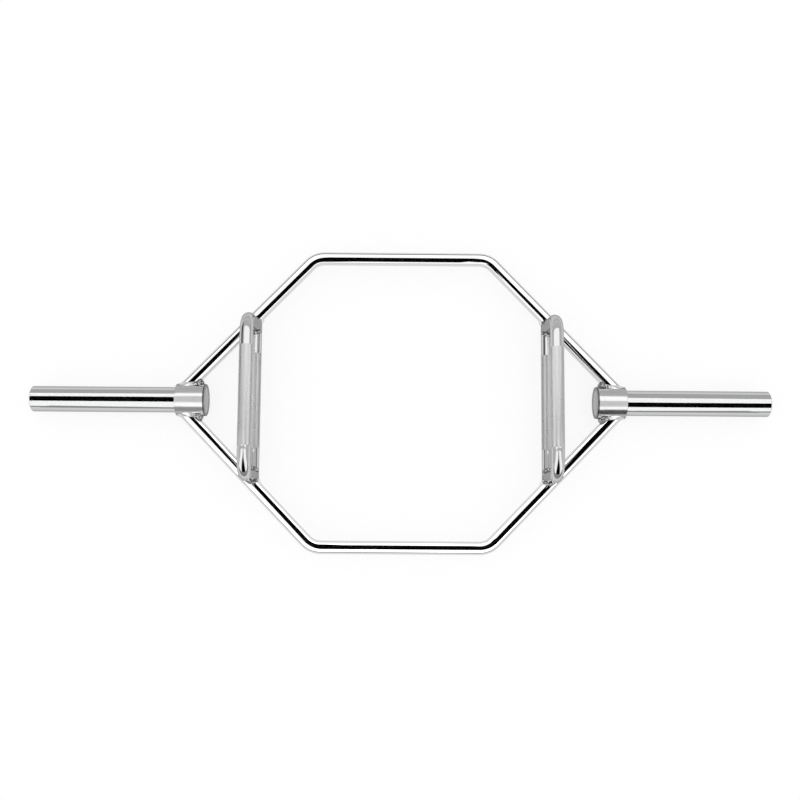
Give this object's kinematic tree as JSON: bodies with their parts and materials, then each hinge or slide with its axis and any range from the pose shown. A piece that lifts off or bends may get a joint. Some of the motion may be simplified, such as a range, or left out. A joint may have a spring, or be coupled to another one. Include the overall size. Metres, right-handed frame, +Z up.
{
  "type": "hex trap bar",
  "caption": "Welded hexagonal lifting bar to stand inside, with plain plate sleeves on the ends, low knurled handles in the frame and raised knurled handles above them.",
  "frame": {"origin": "on the floor under the middle of the hexagon, midway between the sleeves", "axes": "+X along the sleeves to the right, +Y to the rear frame bar, +Z up to the raised handles"},
  "size_m": [1.422, 0.5864, 0.1558],
  "materials": {
    "frame_chrome": "bright chrome plate",
    "sleeve_chrome": "bright chrome plate",
    "handle_chrome": "bright chrome plate with a diamond knurled grip",
    "hub_satin": "turned steel with a satin chrome plate",
    "weld_metal": "rippled weld under chrome plate"
  },
  "bodies": {
    "root": {"front_frame_bar": "frame_chrome", "rear_frame_bar": "frame_chrome", "left_hub_barrel": "hub_satin", "left_hub_disc": "hub_satin", "left_sleeve": "sleeve_chrome", "left_sleeve_plug": "sleeve_chrome", "left_sleeve_root_weld": "weld_metal", "left_low_handle": "handle_chrome", "left_raised_handle": "handle_chrome", "left_front_hub_weld": "weld_metal", "left_front_foot_weld": "weld_metal", "left_front_low_handle_weld": "weld_metal", "left_rear_hub_weld": "weld_metal", "left_rear_foot_weld": "weld_metal", "left_rear_low_handle_weld": "weld_metal", "right_hub_barrel": "hub_satin", "right_hub_disc": "hub_satin", "right_sleeve": "sleeve_chrome", "right_sleeve_plug": "sleeve_chrome", "right_sleeve_root_weld": "weld_metal", "right_low_handle": "handle_chrome", "right_raised_handle": "handle_chrome", "right_front_hub_weld": "weld_metal", "right_front_foot_weld": "weld_metal", "right_front_low_handle_weld": "weld_metal", "right_rear_hub_weld": "weld_metal", "right_rear_foot_weld": "weld_metal", "right_rear_low_handle_weld": "weld_metal"}
  },
  "joints": []
}
